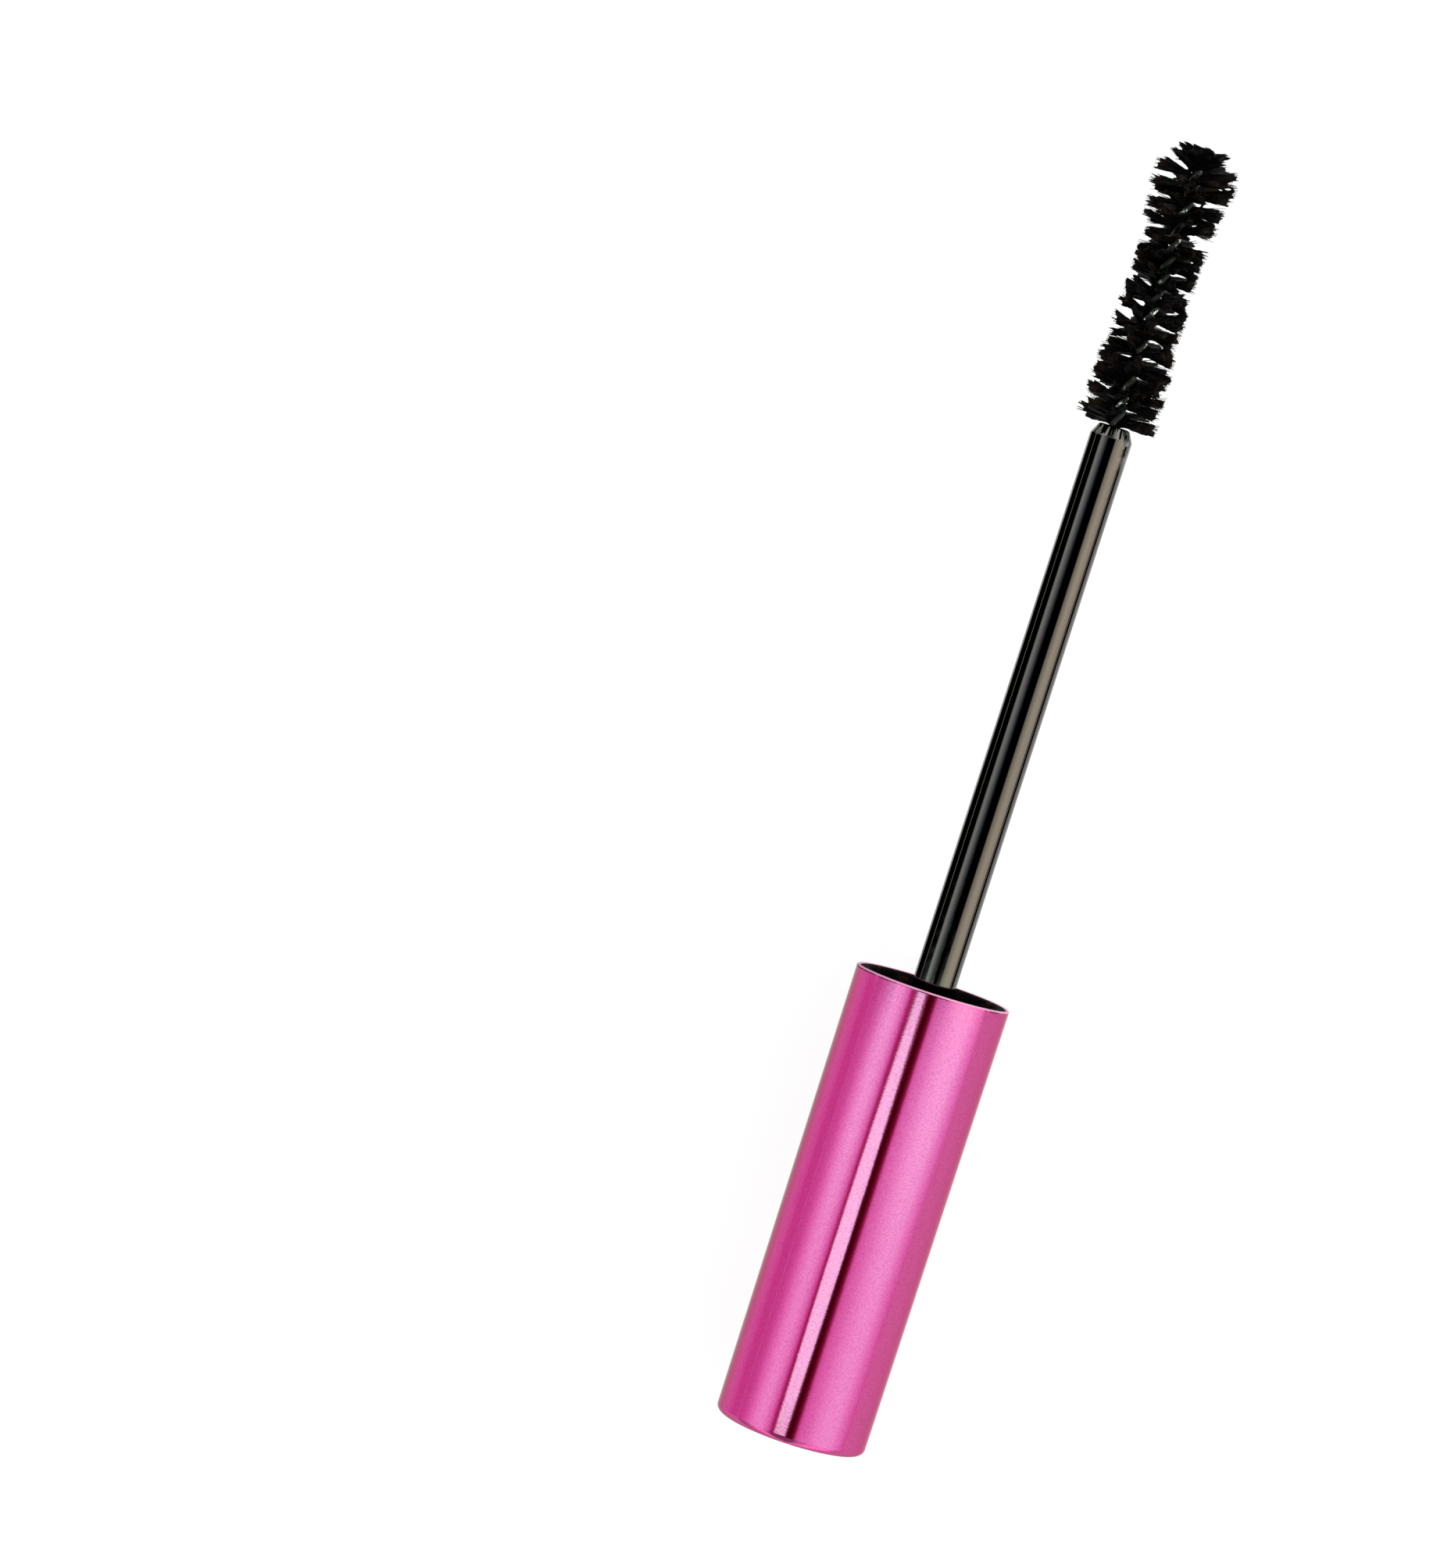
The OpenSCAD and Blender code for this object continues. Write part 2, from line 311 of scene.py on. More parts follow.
# ---------------------------------------------------------------- materials
def pink_metal():
    """Bright anodised aluminium: dye speckle, fine draw lines along it and a faint orange peel.

    The edge of each open end was cut after dyeing, so it's matt and paler.
    """
    m = Nodes("pink_metal")
    m.put(Specular_Tint=(0.70, 0.55, 0.52, 1))
    speckle = m.noise(5200, 2, 0.7)
    dye = m.colours(speckle, [(0.30, (0.50, 0.060, 0.23)), (0.50, (0.56, 0.085, 0.27)),
                              (0.72, (0.60, 0.105, 0.30))])
    lines = m.noise(1, 3, 0.6, m.stretch((90, 2600, 2600)))
    polish = m.spread(lines, 0.3, 0.7, 0.06, 0.09)
    cut_edge = m.times(m.spread(m.axis("X"), MOUTH_X - 0.20 * MM, MOUTH_X - 0.12 * MM),
                       m.spread(m.axis("X"), SHOULDER_X + 0.20 * MM, SHOULDER_X + 0.12 * MM))
    m.set("Base Color", m.blend(cut_edge, dye, (0.72, 0.33, 0.52)))
    m.set("Metallic", m.spread(cut_edge, 0, 1, 1, 0.25))
    m.set("Roughness", m.blend(cut_edge, polish, 0.45, "FLOAT"))
    peel = m.bump(m.noise(1, 2, 0.5, m.stretch((500, 1100, 1100))), 0.0008 * MM)
    m.set("Normal", m.bump(m.noise(4200, 1), 0.0011 * MM, peel))
    return m.material


def black_moulding():
    """Satin black plastic with dried smudges of paste round the mouth."""
    m = Nodes("black_moulding")
    grain = m.noise(2500, 3)
    clean = m.colours(grain, [(0.3, (0.003, 0.003, 0.003)), (0.7, (0.007, 0.006, 0.006))])
    smudge = m.times(m.spread(m.noise(420, 4, 0.65), 0.56, 0.68),
                     m.spread(m.axis("X"), MOUTH_X - 6 * MM, MOUTH_X - 1 * MM))
    m.set("Base Color", m.blend(smudge, clean, (0.035, 0.018, 0.012)))
    m.set("Roughness", m.spread(m.noise(500, 2), 0.3, 0.7, 0.70, 0.85))
    m.set("Normal", m.bump(grain, 0.004 * MM))
    m.put(Specular_IOR_Level=0.01)
    return m.material


def stem_finish():
    """Dark metallised lacquer with faint lines along it, and a dry smear beside the brush."""
    m = Nodes("stem_finish")
    lines = m.noise(1, 2, 0.5, m.stretch((40, 3000, 3000)))
    lacquer = m.colours(lines, [(0.3, (0.092, 0.088, 0.080)), (0.7, (0.106, 0.102, 0.094))])
    near_tip = m.spread(m.axis("X"), STEM_END_X - 4.2 * MM, STEM_END_X - 1.2 * MM)
    right_side = m.spread(m.axis("Y"), -0.9 * MM, -1.7 * MM)
    blotch = m.spread(m.noise(700, 3, 0.6), 0.40, 0.50)
    smear = m.times(m.times(near_tip, right_side), blotch)
    streaks = m.colours(m.noise(1, 3, 0.7, m.stretch((900, 2600, 2600))),
                        [(0.40, (0.01, 0.008, 0.008)), (0.62, (0.30, 0.28, 0.27))])
    m.set("Base Color", m.blend(smear, lacquer, streaks))
    m.set("Metallic", m.spread(smear, 0, 1, 1, 0))
    polish = m.spread(m.noise(900, 3), 0.35, 0.75, 0.03, 0.06)
    m.set("Roughness", m.blend(smear, polish, 0.55, "FLOAT"))
    m.set("Normal", m.bump(lines, 0.0004 * MM, m.bump(smear, 0.03 * MM)))
    return m.material


def bright_wire():
    """Tinned steel wire with paste dried on it."""
    m = Nodes("bright_wire")
    dirt = m.spread(m.noise(1500, 3), 0.34, 0.42)
    m.set("Base Color", m.blend(dirt, (0.72, 0.75, 0.66), (0.02, 0.018, 0.016)))
    m.set("Metallic", m.spread(dirt, 0, 1, 1, 0))
    m.set("Roughness", m.spread(dirt, 0, 1, 0.22, 0.6))
    m.set("Normal", m.bump(m.noise(1, 3, 0.6, m.stretch((600, 5000, 5000))), 0.004 * MM))
    return m.material


def bristle_nylon():
    """Black nylon fibres whose tips look brown where the light comes through them."""
    m = Nodes("bristle_nylon")
    tip = m.spread(m.from_axis(), 2.4 * MM, 4.0 * MM)
    patch = m.times(tip, m.spread(m.noise(1500, 2), 0.42, 0.62))
    m.set("Base Color", m.blend(patch, (0.0015, 0.0015, 0.0015), (0.030, 0.012, 0.006)))
    m.set("Roughness", m.spread(m.noise(3000, 2), 0.3, 0.7, 0.45, 0.7))
    m.set("Normal", m.bump(m.noise(6000, 2), 0.01 * MM))
    m.put(Specular_IOR_Level=0.05)
    return m.material


def mascara_paste():
    """Wet black paste, matt where it has dried and brown at thin edges."""
    m = Nodes("mascara_paste")
    thin = m.times(m.spread(m.from_axis(), 2.6 * MM, 4.2 * MM),
                   m.spread(m.noise(900, 3), 0.45, 0.65))
    m.set("Base Color", m.blend(thin, (0.0008, 0.0008, 0.0008), (0.018, 0.008, 0.004)))
    wet = m.noise(700, 3, 0.6)
    m.set("Roughness", m.spread(wet, 0.35, 0.65, 0.35, 0.7))
    m.set("Normal", m.bump(m.noise(3200, 4, 0.65), 0.05 * MM))
    m.put(Specular_IOR_Level=0.05)
    return m.material


def vial_plastic():
    """Glossy black bottle plastic, with crusts of dried paste round the neck's end."""
    m = Nodes("vial_plastic")
    grain = m.noise(1800, 3)
    clean = m.colours(grain, [(0.3, (0.005, 0.005, 0.005)), (0.7, (0.010, 0.009, 0.009))])
    neck_end = SHOULDER_X - NECK_L * MM
    crust = m.times(m.spread(m.axis("X"), neck_end + 2.2 * MM, neck_end + 0.6 * MM),
                    m.spread(m.noise(520, 4, 0.65), 0.48, 0.58))
    m.set("Base Color", m.blend(crust, clean, (0.022, 0.014, 0.011)))
    m.set("Roughness", m.blend(crust, m.spread(grain, 0.3, 0.7, 0.22, 0.34), 0.75, "FLOAT"))
    m.set("Normal", m.bump(grain, 0.004 * MM, m.bump(crust, 0.05 * MM)))
    m.put(Specular_IOR_Level=0.4)
    return m.material


def wiper_plastic():
    """Milky soft plastic, smeared black round its hole."""
    m = Nodes("wiper_plastic")
    milky = m.colours(m.noise(900, 3), [(0.3, (0.62, 0.61, 0.58)), (0.7, (0.72, 0.71, 0.68))])
    ragged = m.noise(650, 4, 0.6)
    near_hole = m.spread(m.from_axis(), 6 * MM, 4 * MM)
    smear = m.spread(m.times(near_hole, m.spread(ragged, 0.25, 0.60, 0.5, 1.0)), 0.30, 0.42)
    m.set("Base Color", m.blend(smear, milky, (0.004, 0.0035, 0.0035)))
    m.set("Roughness", m.blend(smear, m.spread(ragged, 0.3, 0.7, 0.38, 0.5), 0.28, "FLOAT"))
    m.set("Normal", m.bump(smear, 0.06 * MM, m.bump(m.noise(2400, 2), 0.004 * MM)))
    m.put(Subsurface_Weight=0.15, Subsurface_Radius=(0.001, 0.001, 0.0009))
    return m.material


def seal_foam():
    """Pale closed-cell foam."""
    m = Nodes("seal_foam")
    cells = m.cells(3600)
    m.set("Base Color", m.colours(cells, [(0.1, (0.50, 0.50, 0.48)), (0.6, (0.70, 0.70, 0.67))]))
    m.set("Roughness", m.spread(cells, 0.1, 0.6, 0.7, 0.9))
    m.set("Normal", m.bump(cells, 0.04 * MM))
    return m.material


def label_paper():
    """White paper with short fibres in it."""
    m = Nodes("label_paper")
    fibres = m.noise(1, 4, 0.7, m.stretch((900, 5200, 1400)))
    m.set("Base Color", m.colours(fibres, [(0.3, (0.80, 0.79, 0.76)), (0.7, (0.88, 0.87, 0.84))]))
    m.set("Roughness", m.spread(fibres, 0.3, 0.7, 0.6, 0.8))
    m.set("Normal", m.bump(fibres, 0.01 * MM))
    return m.material


# ---------------------------------------------------------------- cap, liner and stem
def shell_outline(length, r_open, r_closed):
    """Outside of a thin cup from its rolled-in open edge to the middle of its closed end."""
    roll = 0.2
    outer = [(roll * (1 - math.sin(a)), r_open - roll * (1 - math.cos(a)))
             for a in [math.radians(90 - 15 * i) for i in range(7)]]
    outer += [(length / 3, r_open - (r_open - r_closed) / 3),
              (length * 2 / 3, r_open - (r_open - r_closed) * 2 / 3)]
    edge = [(length - SHELL_EDGE * (1 - math.sin(a)), r_closed - SHELL_EDGE * (1 - math.cos(a)))
            for a in [math.radians(7.5 * i) for i in range(13)]]
    return outer + edge


def shell_inside(length, r_open, r_closed):
    """Inside of the same cup from the middle of its closed end back to its open edge."""
    return [(length - SHELL_WALL, 0), (length - SHELL_WALL, r_closed - SHELL_EDGE),
            (length - SHELL_EDGE, r_closed - SHELL_WALL), (0.12, r_open - SHELL_WALL),
            (0.04, r_open - SHELL_WALL + 0.08)]


def make_cap(metal):
    length = (cap_hi.x - cap_lo.x) / MM
    r_open = CAP_MOUTH_R / MM
    r_closed = r_open - CAP_TAPER
    bm = bmesh.new()
    outline = shell_outline(length, r_open, r_closed) + [(length, 0)]
    lathe(bm, outline + shell_inside(length, r_open, r_closed), MOUTH_X, -1)
    add_piece("cap_metal_shell", finish_mesh("cap_metal_shell", bm), "wand", metal,
              "cap_shell")


def make_liner(black):
    """Socket with its thread, web, boss with the stem's snap groove, ribs and tail."""
    rim_r = CAP_MOUTH_R / MM - SHELL_WALL - FIT
    tail = 44.4
    tail_r = 6.342
    web = -SOCKET_FLOOR + WEB_T
    boss = web + 12
    boss_r = 3.9
    bore_r = STEM_ROOT_R + FIT
    groove = web + SNAP_DEPTH
    groove_w = 1 + 2 * FIT
    groove_r = SNAP_R + FIT
    outline = [(0.05, rim_r - 0.1), (0.2, rim_r), (tail, rim_r - 0.19), (tail, tail_r), (web, tail_r),
               (web, boss_r), (boss, boss_r), (boss, bore_r), (groove, bore_r),
               (groove, groove_r), (groove - groove_w, groove_r), (groove - groove_w, bore_r),
               (-SOCKET_FLOOR, bore_r), (-SOCKET_FLOOR, SOCKET_R), (0.55, SOCKET_R),
               (0.18, SOCKET_R + 0.09), (0.05, SOCKET_R + 0.3)]
    bm = bmesh.new()
    lathe(bm, outline, MOUTH_X, -1, 192)
    thread_start = THREAD_Z + 0.3 - THREAD_LEAD / 2
    helix_thread(bm, MOUTH_X + thread_start * MM, SOCKET_R + 0.2, SOCKET_R - THREAD_H, 2)
    for quarter in range(4):
        corners = [on_axis(MOUTH_X - x * MM, r * MM, quarter * TAU / 4 + side / r)
                   for x in (web - 0.1, boss) for r in (3.7, 6.5) for side in (-0.5, 0.5)]
        verts = [bm.verts.new(c) for c in corners]
        for face in ((0, 1, 3, 2), (4, 6, 7, 5), (0, 4, 5, 1), (2, 3, 7, 6), (0, 2, 6, 4),
                     (1, 5, 7, 3)):
            bm.faces.new([verts[i] for i in face])
    add_piece("liner_moulding", finish_mesh("liner_moulding", bm), "wand", black,
              "cap_liner")


def make_stem(finish):
    """Stem with its collar on the socket's floor, its snap ring and the wire's hole."""
    length = (STEM_END_X - MOUTH_X) / MM
    floor = SOCKET_FLOOR
    root = floor - 13
    snap = floor - WEB_T - SNAP_DEPTH
    collar_r = 3.4
    hole_r = 0.65
    bevel = length - STEM_BEVEL
    outline = [(root, 0), (root, STEM_ROOT_R - 0.3), (root + 0.6, STEM_ROOT_R),
               (snap, STEM_ROOT_R), (snap, SNAP_R), (snap + 1, SNAP_R), (snap + 1, STEM_ROOT_R),
               (floor, STEM_ROOT_R), (floor, collar_r), (floor + 0.8, collar_r),
               (floor + 1, collar_r - 0.2), (floor + 1, STEM_ROOT_R), (0, STEM_ROOT_R),
               (bevel, STEM_TIP_R), (bevel + 0.08, STEM_TIP_R - 0.02),
               (length - 0.12, STEM_TIP_R - 0.55), (length, STEM_TIP_R - 0.72), (length, hole_r),
               (length - WIRE_GRIP, hole_r), (length - WIRE_GRIP, 0)]
    bm = bmesh.new()
    lathe(bm, outline, MOUTH_X, 1, 128)
    add_piece("stem_rod", finish_mesh("stem_rod", bm), "wand", finish, "stem")


# ---------------------------------------------------------------- brush
def wire_angle(x):
    """Angle of the first strand at x, from straight down."""
    return TAU * (x - wire_lo.x) / (WIRE_LEAD * MM)


def make_wire(material):
    """Two strands twisted together, each with a rounded end."""
    steps = round((wire_hi.x - wire_lo.x) / (WIRE_LEAD * MM) * 24)
    bm = bmesh.new()
    for half in (0, math.pi):
        xs = [wire_lo.x + (wire_hi.x - wire_lo.x) * i / steps for i in range(steps + 1)]
        points = [on_axis(x, STRAND_OFF * MM, wire_angle(x) + half) for x in xs]
        radii = [WIRE_R * MM] * (steps - 1) + [WIRE_R * 0.9 * MM, WIRE_R * 0.45 * MM]
        tube(bm, points, radii, 12)
    add_piece("twisted_wire", finish_mesh("twisted_wire", bm, 50), "wand", material,
              "brush_wire")


def brush_radius(t):
    """Radius over the bristles in mm, from t = 0 next to the stem to t = 1 at the free end.

    It swings from the base to the waist and out again, and rounds off past full_t.
    """
    waist_t = 0.57
    full_t = 0.88
    if t < waist_t:
        side, rim = t / waist_t, BRUSH_BASE_R
    else:
        side, rim = 1 - min(1, (t - waist_t) / (full_t - waist_t)), BRUSH_END_R
    body = rim + (BRUSH_WAIST_R - rim) * (1 - math.cos(math.pi * side)) / 2
    past = max(0, min(1, (t - full_t) / (1 - full_t)))
    return body * (0.62 + 0.38 * math.sqrt(1 - past * past))


class Clump:
    """Neighbouring fibres that the paste has drawn together into one flat spike."""

    def __init__(self, rng, x, angle):
        self.x = x + rng.uniform(-0.35, 0.35) * MM
        self.angle = angle + rng.uniform(-0.4, 0.4)
        self.pull = rng.uniform(0.2, 0.7)
        self.lean = math.tan(math.radians(rng.gauss(4, 8)))
        self.reach = rng.choice((1.0, 1.0, 1.0, 0.98, 0.96, 0.92))
        self.wet = rng.uniform(0.93, 1.0)
        self.swing = rng.uniform(-0.12, 0.12)


class Fibre:
    """One bristle: its points from the wire outwards, and how far along it the paste reaches."""

    def __init__(self, points, wet):
        self.points = points
        self.wet = wet


def side_fibre(rng, x, angle, clump, start_x, length):
    """Bristle that stands out from the wire and gathers with its clump."""
    t = (x - start_x) / length
    splay_t = 0.86
    splay = 0.75 * max(0, (t - splay_t) / (1 - splay_t)) ** 1.5
    lean = clump.lean + rng.gauss(0, 0.07) + splay
    reach = brush_radius(t)
    tip_t = (x + reach * lean * MM - start_x) / length
    reach = min(reach, brush_radius(min(tip_t, 1))) * clump.reach * rng.uniform(0.965, 1.0)
    lean = min(lean, (start_x + length - x) / (reach * MM))
    points = []
    for i in range(5):
        u = i / 4
        r = FIBRE_ROOT_R + (reach - FIBRE_ROOT_R) * u
        gather = clump.pull * u ** 0.8
        bend = clump.swing * u * u
        here = max(start_x, x + (clump.x - x) * gather + lean * r * MM)
        points.append(on_axis(here, r * MM, angle + (clump.angle - angle) * gather + bend))
    return Fibre(points, min(1, clump.wet + rng.uniform(-0.07, 0.04)))


def crown_fibre(rng, end_x):
    """Bristle of the lump at the free end, which fans out forwards."""
    angle = rng.uniform(0, TAU)
    reach = 2.5 * math.sqrt(rng.random())
    root_x = end_x - rng.uniform(1.4, 2.4) * MM
    tip_x = end_x - (0.1 + 0.09 * reach * reach + rng.uniform(0, 0.25)) * MM
    points = [on_axis(root_x + (tip_x - root_x) * u ** 0.7, (FIBRE_ROOT_R + reach * u) * MM, angle)
              for u in (0, 0.25, 0.5, 0.75, 1)]
    return Fibre(points, rng.uniform(0.85, 1.0))


def plan_brush():
    """Fibres stand in two sheets that wind round the wire, one on each side of it."""
    rng = random.Random(20)
    start_x = brush_lo.x + 0.1 * MM
    length = brush_hi.x - 0.15 * MM - start_x
    count = 1300
    crown_count = 160
    fibres = [crown_fibre(rng, start_x + length) for _ in range(crown_count)]
    for half in (0, math.pi):
        left = 0
        for i in range(count):
            x = start_x + length * (i + rng.random()) / count
            angle = wire_angle(x) + math.pi / 2 + half + rng.gauss(0, 0.05)
            if left <= 0:
                left = rng.randint(5, 14)
                middle = x + length * left / 2 / count
                clump = Clump(rng, middle, wire_angle(middle) + math.pi / 2 + half)
            left -= 1
            fibres.append(side_fibre(rng, x, angle, clump, start_x, length))
    return fibres


def make_fibres(fibres, material):
    """Three-sided fibres that taper, each turned by its own angle so that their sides don't line up."""
    thickness = [r * MM for r in (0.050, 0.048, 0.045, 0.040, 0.022)]
    bm = bmesh.new()
    for fibre in fibres:
        turn = fibre.wet * 40
        tube(bm, fibre.points, thickness, 3, turn)
    add_piece("bristle_fibres", finish_mesh("bristle_fibres", bm, 80), "wand",
              material, "bristles")


def make_paste(fibres, material):
    """Paste that covers the fibres and joins each clump into a ragged spike.

    A thick coat round every other fibre is fused into one skin by a voxel remesh. That's done in
    millimetres, and the lumps of the noise are then a few tenths of a millimetre across.
    """
    rng = random.Random(5)
    coat = (0.23, 0.21, 0.19, 0.17, 0.12)
    lump_h = 0.028
    bm = bmesh.new()
    for fibre in fibres[::2]:
        path = [fibre.points[0].lerp(fibre.points[1], 0.3)]
        for u in (0.25, 0.5, 0.75, fibre.wet):
            k = min(int(u * 4), 3)
            path.append(fibre.points[k].lerp(fibre.points[k + 1], u * 4 - k))
        tube(bm, path, [r * rng.uniform(0.75, 1.3) * MM for r in coat], 5, rng.random())
    bmesh.ops.scale(bm, verts=bm.verts, vec=(1 / MM, 1 / MM, 1 / MM))
    mesh = bpy.data.meshes.new("paste_rough")
    bm.to_mesh(mesh)
    bm.free()
    rough = bpy.data.objects.new("paste_rough", mesh)
    bpy.context.scene.collection.objects.link(rough)
    remesh = rough.modifiers.new("remesh", "REMESH")
    remesh.mode = "VOXEL"
    remesh.voxel_size = 0.155
    fused = bpy.data.meshes.new_from_object(
        rough.evaluated_get(bpy.context.evaluated_depsgraph_get()))
    bpy.data.objects.remove(rough)
    fused.name = "mascara_on_brush"
    normals = [vertex.normal.copy() for vertex in fused.vertices]
    for vertex, normal in zip(fused.vertices, normals):
        lump = noise.noise(vertex.co * 2.6) + 0.5 * noise.noise(vertex.co * 6.1)
        vertex.co = (vertex.co + normal * lump * lump_h) * MM
    fused.polygons.foreach_set("use_smooth", [True] * len(fused.polygons))
    add_piece("mascara_on_brush", fused, "wand", material, "bristles")


# ---------------------------------------------------------------- bottle
def make_bottle_shell(metal):
    """Shell with the shallow panel in its base."""
    length = (bottle_hi.x - bottle_lo.x) / MM
    r = BOTTLE_R / MM
    panel_r = r - 2
    panel = length - BASE_RECESS
    base = [(length, panel_r + 0.1), (length - 0.1, panel_r), (panel, panel_r), (panel, 0)]
    inside = [(panel - SHELL_WALL, 0), (panel - SHELL_WALL, panel_r + SHELL_WALL),
              (length - SHELL_WALL, panel_r + SHELL_WALL)]
    bm = bmesh.new()
    lathe(bm, shell_outline(length, r, r) + base + inside + shell_inside(length, r, r)[1:],
          SHOULDER_X, 1)
    add_piece("bottle_metal_shell", finish_mesh("bottle_metal_shell", bm), "bottle",
              metal, "bottle_shell")


def make_vial(material):
    """Bottle with its threaded neck, and the groove inside that the wiper snaps into."""
    neck = -NECK_L + FLANGE_T
    outer_r = BOTTLE_R / MM - SHELL_WALL - FIT
    base = (bottle_hi.x - SHOULDER_X) / MM - BASE_RECESS - SHELL_WALL - 0.05
    floor = base - 1.5
    bore_r = 6.3
    groove = neck + BEAD_DEPTH - FIT
    groove_w = 1 + 2 * FIT
    groove_r = 4.7
    outline = [(neck, NECK_BORE_R), (neck, NECK_R - 0.3), (neck + 0.09, NECK_R - 0.09),
               (neck + 0.3, NECK_R), (-0.1, NECK_R), (0.1, NECK_R + 0.06), (0.3, NECK_R + 0.25),
               (0.4, NECK_R + 0.5), (0.4, outer_r - 0.4), (0.8, outer_r), (base - 1, outer_r),
               (base, outer_r - 1), (base, 0), (floor, 0), (floor, bore_r - 1), (floor - 1, bore_r),
               (3.6, bore_r), (2, NECK_BORE_R), (groove + groove_w, NECK_BORE_R),
               (groove + groove_w, groove_r), (groove, groove_r), (groove, NECK_BORE_R)]
    bm = bmesh.new()
    lathe(bm, outline, SHOULDER_X, 1, 192)
    helix_thread(bm, SHOULDER_X + THREAD_Z * MM, NECK_R - 0.2, NECK_R + THREAD_H, 1.5)
    add_piece("vial_moulding", finish_mesh("vial_moulding", bm), "bottle", material,
              "vial")


def make_wiper(material):
    """Flange, tube with a snap bead, and funnel to the wiping lip."""
    top = -NECK_L
    flange = top + FLANGE_T
    r = NECK_BORE_R - FIT
    wall = 0.6
    bead = flange + BEAD_DEPTH
    lip = -3.6
    lip_r = STEM_ROOT_R + 0.03
    outline = [(top + 0.12, NECK_R - 0.2), (flange, NECK_R - 0.2), (flange, r), (bead, r),
               (bead + 0.3, r + 0.2), (bead + 0.7, r + 0.2), (bead + 1, r), (lip - 3, r),
               (lip + 0.8, lip_r + wall), (lip + 0.8, lip_r), (lip, lip_r), (lip - 3.4, r - wall),
               (top + 0.2, r - wall), (top + 0.05, r - 0.53), (top, r - 0.35),
               (top, NECK_R - 0.32)]
    bm = bmesh.new()
    lathe(bm, outline, SHOULDER_X, 1, 160)
    add_piece("wiper_insert", finish_mesh("wiper_insert", bm, 50), "bottle",
              material, "wiper")


def finish_node(name, material):
    """Gives a CAD node that stays as it is its own material."""
    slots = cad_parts[name].data.materials
    slots.clear()
    slots.append(material)


metal = pink_metal()
paste = mascara_paste()
make_cap(metal)
make_liner(black_moulding())
make_stem(stem_finish())
make_wire(bright_wire())
fibres = plan_brush()
make_fibres(fibres, bristle_nylon())
make_paste(fibres, paste)
make_bottle_shell(metal)
make_vial(vial_plastic())
make_wiper(wiper_plastic())
finish_node("neck_seal", seal_foam())
finish_node("mascara_fill", paste)
finish_node("base_label", label_paper())


# ---------------------------------------------------------------- studio
def lamp_colour(level):
    """Light of a level, reddish when it's dim and greenish when it's bright.

    The pink metal then has pale highlights and deep shade, as a photograph's tone curve gives it.
    """
    return (1.2 * level ** 0.25, level, 1.25 * level ** 0.5)


